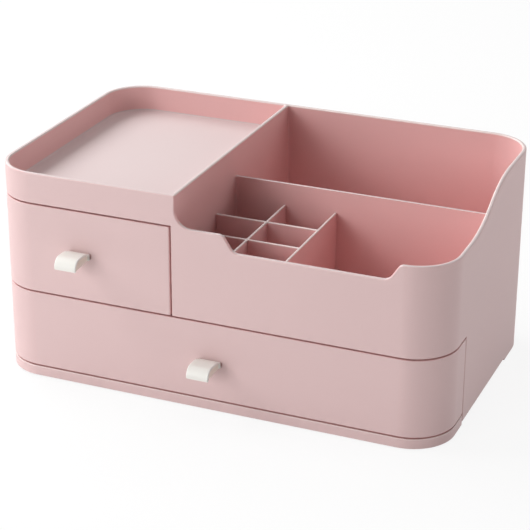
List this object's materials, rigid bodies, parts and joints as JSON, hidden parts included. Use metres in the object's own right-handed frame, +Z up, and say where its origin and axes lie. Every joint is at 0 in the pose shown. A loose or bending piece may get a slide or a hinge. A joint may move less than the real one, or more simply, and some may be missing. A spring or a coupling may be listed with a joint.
{
  "type": "makeup storage case",
  "caption": "Desktop makeup organiser with rounded corners: a raised tray and divided open compartments behind a notched low wall, over pull-out drawers with hooked handles.",
  "frame": {"origin": "under the middle of the whole object's bounding box, on the surface that it stands on", "axes": "+X to the right as seen from the front, +Y to the back, +Z up; the drawers open towards -Y"},
  "size_m": [0.32, 0.2194, 0.1498],
  "materials": {
    "pink_plastic": "satin moulded plastic, dusty pink",
    "cream_plastic": "smooth moulded plastic, cream white",
    "foot_rubber": "soft matt rubber",
    "screw_steel": "zinc-plated steel"
  },
  "bodies": {
    "case": {"housing": "pink_plastic", "base_plate": "pink_plastic", "base_screws": "screw_steel", "lipstick_grid": "pink_plastic", "foot_pad_front_left": "foot_rubber", "foot_pad_front_right": "foot_rubber", "foot_pad_rear_left": "foot_rubber", "foot_pad_rear_right": "foot_rubber"},
    "small_drawer": {"small_drawer": "pink_plastic", "small_drawer_handle": "cream_plastic"},
    "large_drawer": {"large_drawer": "pink_plastic", "large_drawer_handle": "cream_plastic"}
  },
  "joints": [
    {"name": "small_drawer_slide", "type": "slide", "parent": "case", "child": "small_drawer", "axis": [0, -1, 0], "range_m": [0, 0.1225]},
    {"name": "large_drawer_slide", "type": "slide", "parent": "case", "child": "large_drawer", "axis": [0, -1, 0], "range_m": [0, 0.1225]}
  ]
}
